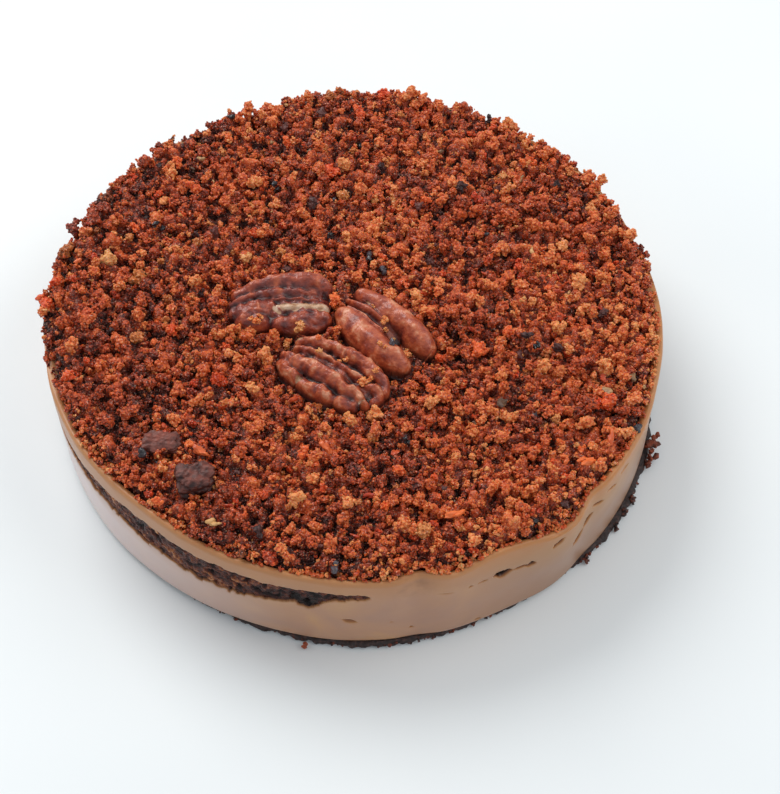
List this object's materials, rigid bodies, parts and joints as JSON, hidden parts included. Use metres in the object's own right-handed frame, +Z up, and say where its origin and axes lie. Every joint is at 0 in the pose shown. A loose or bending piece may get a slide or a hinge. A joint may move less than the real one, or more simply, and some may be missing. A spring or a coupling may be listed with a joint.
{
  "type": "coffee cream cake",
  "caption": "Round chilled cake of set coffee cream on a thin dark biscuit base, with a sponge layer showing at one side, carrot cake crumbs on top and pecan halves.",
  "frame": {"origin": "centre of the flat underside of the biscuit base, on the cake's axis", "axes": "+Z up along the cake's axis; -Y faces the side where the sponge band ends and the cream shows full height, +X to the right of it"},
  "size_m": [0.185, 0.1812, 0.0466],
  "materials": {
    "dark_biscuit": "dark crumbly biscuit, matt, ragged edge",
    "set_coffee_cream": "smooth set coffee cream, satin, slightly translucent",
    "soaked_sponge": "open-pored brown sponge, moist, with small glints",
    "carrot_cake_crumbs": "loose moist crumbs from amber to dark brown",
    "pecan_skin": "wrinkled red-brown nut skin with a soft gloss"
  },
  "bodies": {
    "root": {"biscuit_base": "dark_biscuit", "coffee_cream": "set_coffee_cream", "sponge_layer": "soaked_sponge", "crumb_topping": "carrot_cake_crumbs", "pecan_half_1": "pecan_skin", "pecan_half_2": "pecan_skin", "pecan_half_3": "pecan_skin"}
  },
  "joints": []
}
